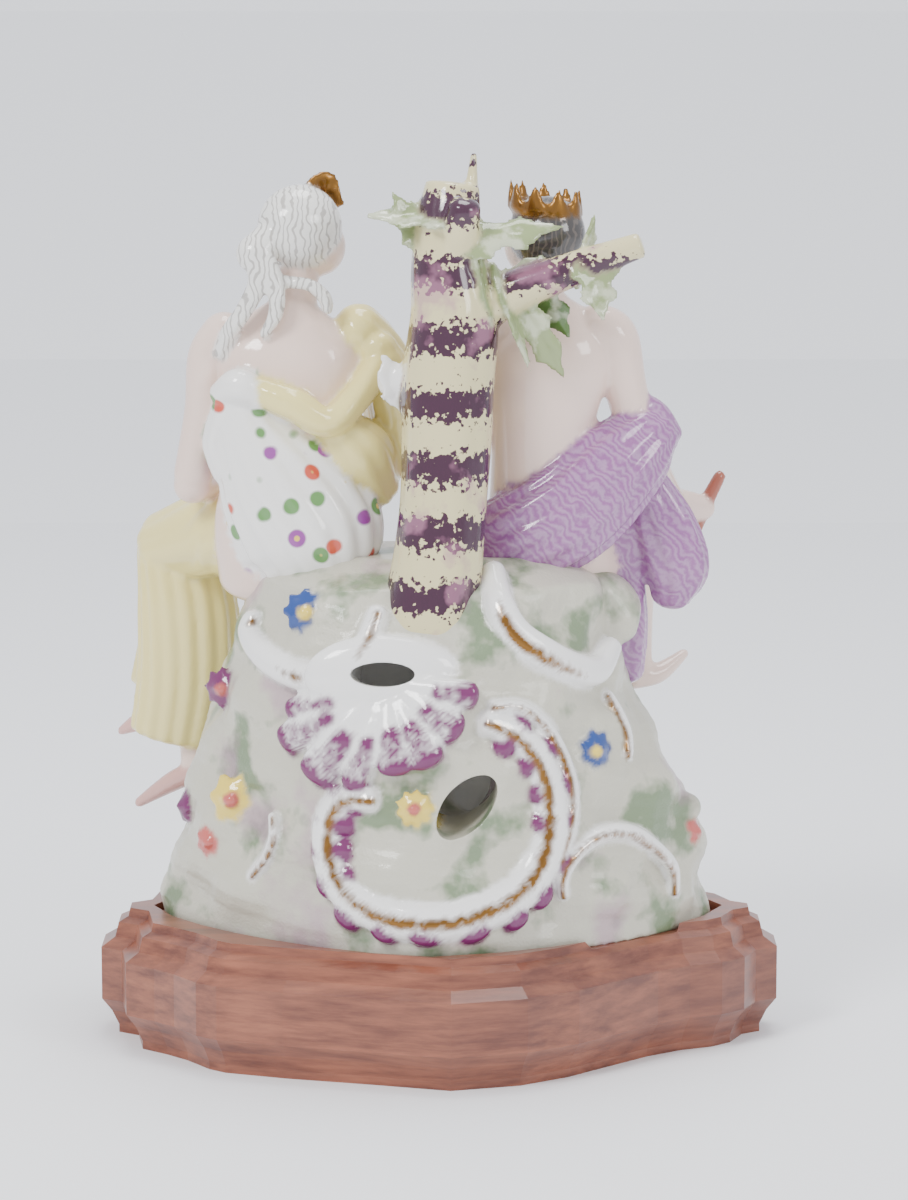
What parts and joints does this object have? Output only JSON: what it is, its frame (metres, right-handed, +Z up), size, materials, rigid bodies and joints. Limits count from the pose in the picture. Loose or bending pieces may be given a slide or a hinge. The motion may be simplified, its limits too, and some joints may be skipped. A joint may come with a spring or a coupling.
{
  "type": "porcelain figure group",
  "caption": "Two seated porcelain figures back to back with a leafy tree on a rockwork mound with pierced scrolls, on a moulded wooden plinth.",
  "frame": {"origin": "centre of the plinth's underside, on the surface it stands on", "axes": "+Z up, +X along the plinth to the right as seen from the scroll side, +Y towards the side that the figures face"},
  "size_m": [0.23, 0.17, 0.3003],
  "materials": {
    "porcelain": "glazed white porcelain with painted enamels and antique gold lines",
    "plinth_wood": "reddish-brown satin polished wood"
  },
  "bodies": {
    "root": {"porcelain_group": "porcelain", "wood_plinth": "plinth_wood"}
  },
  "joints": []
}
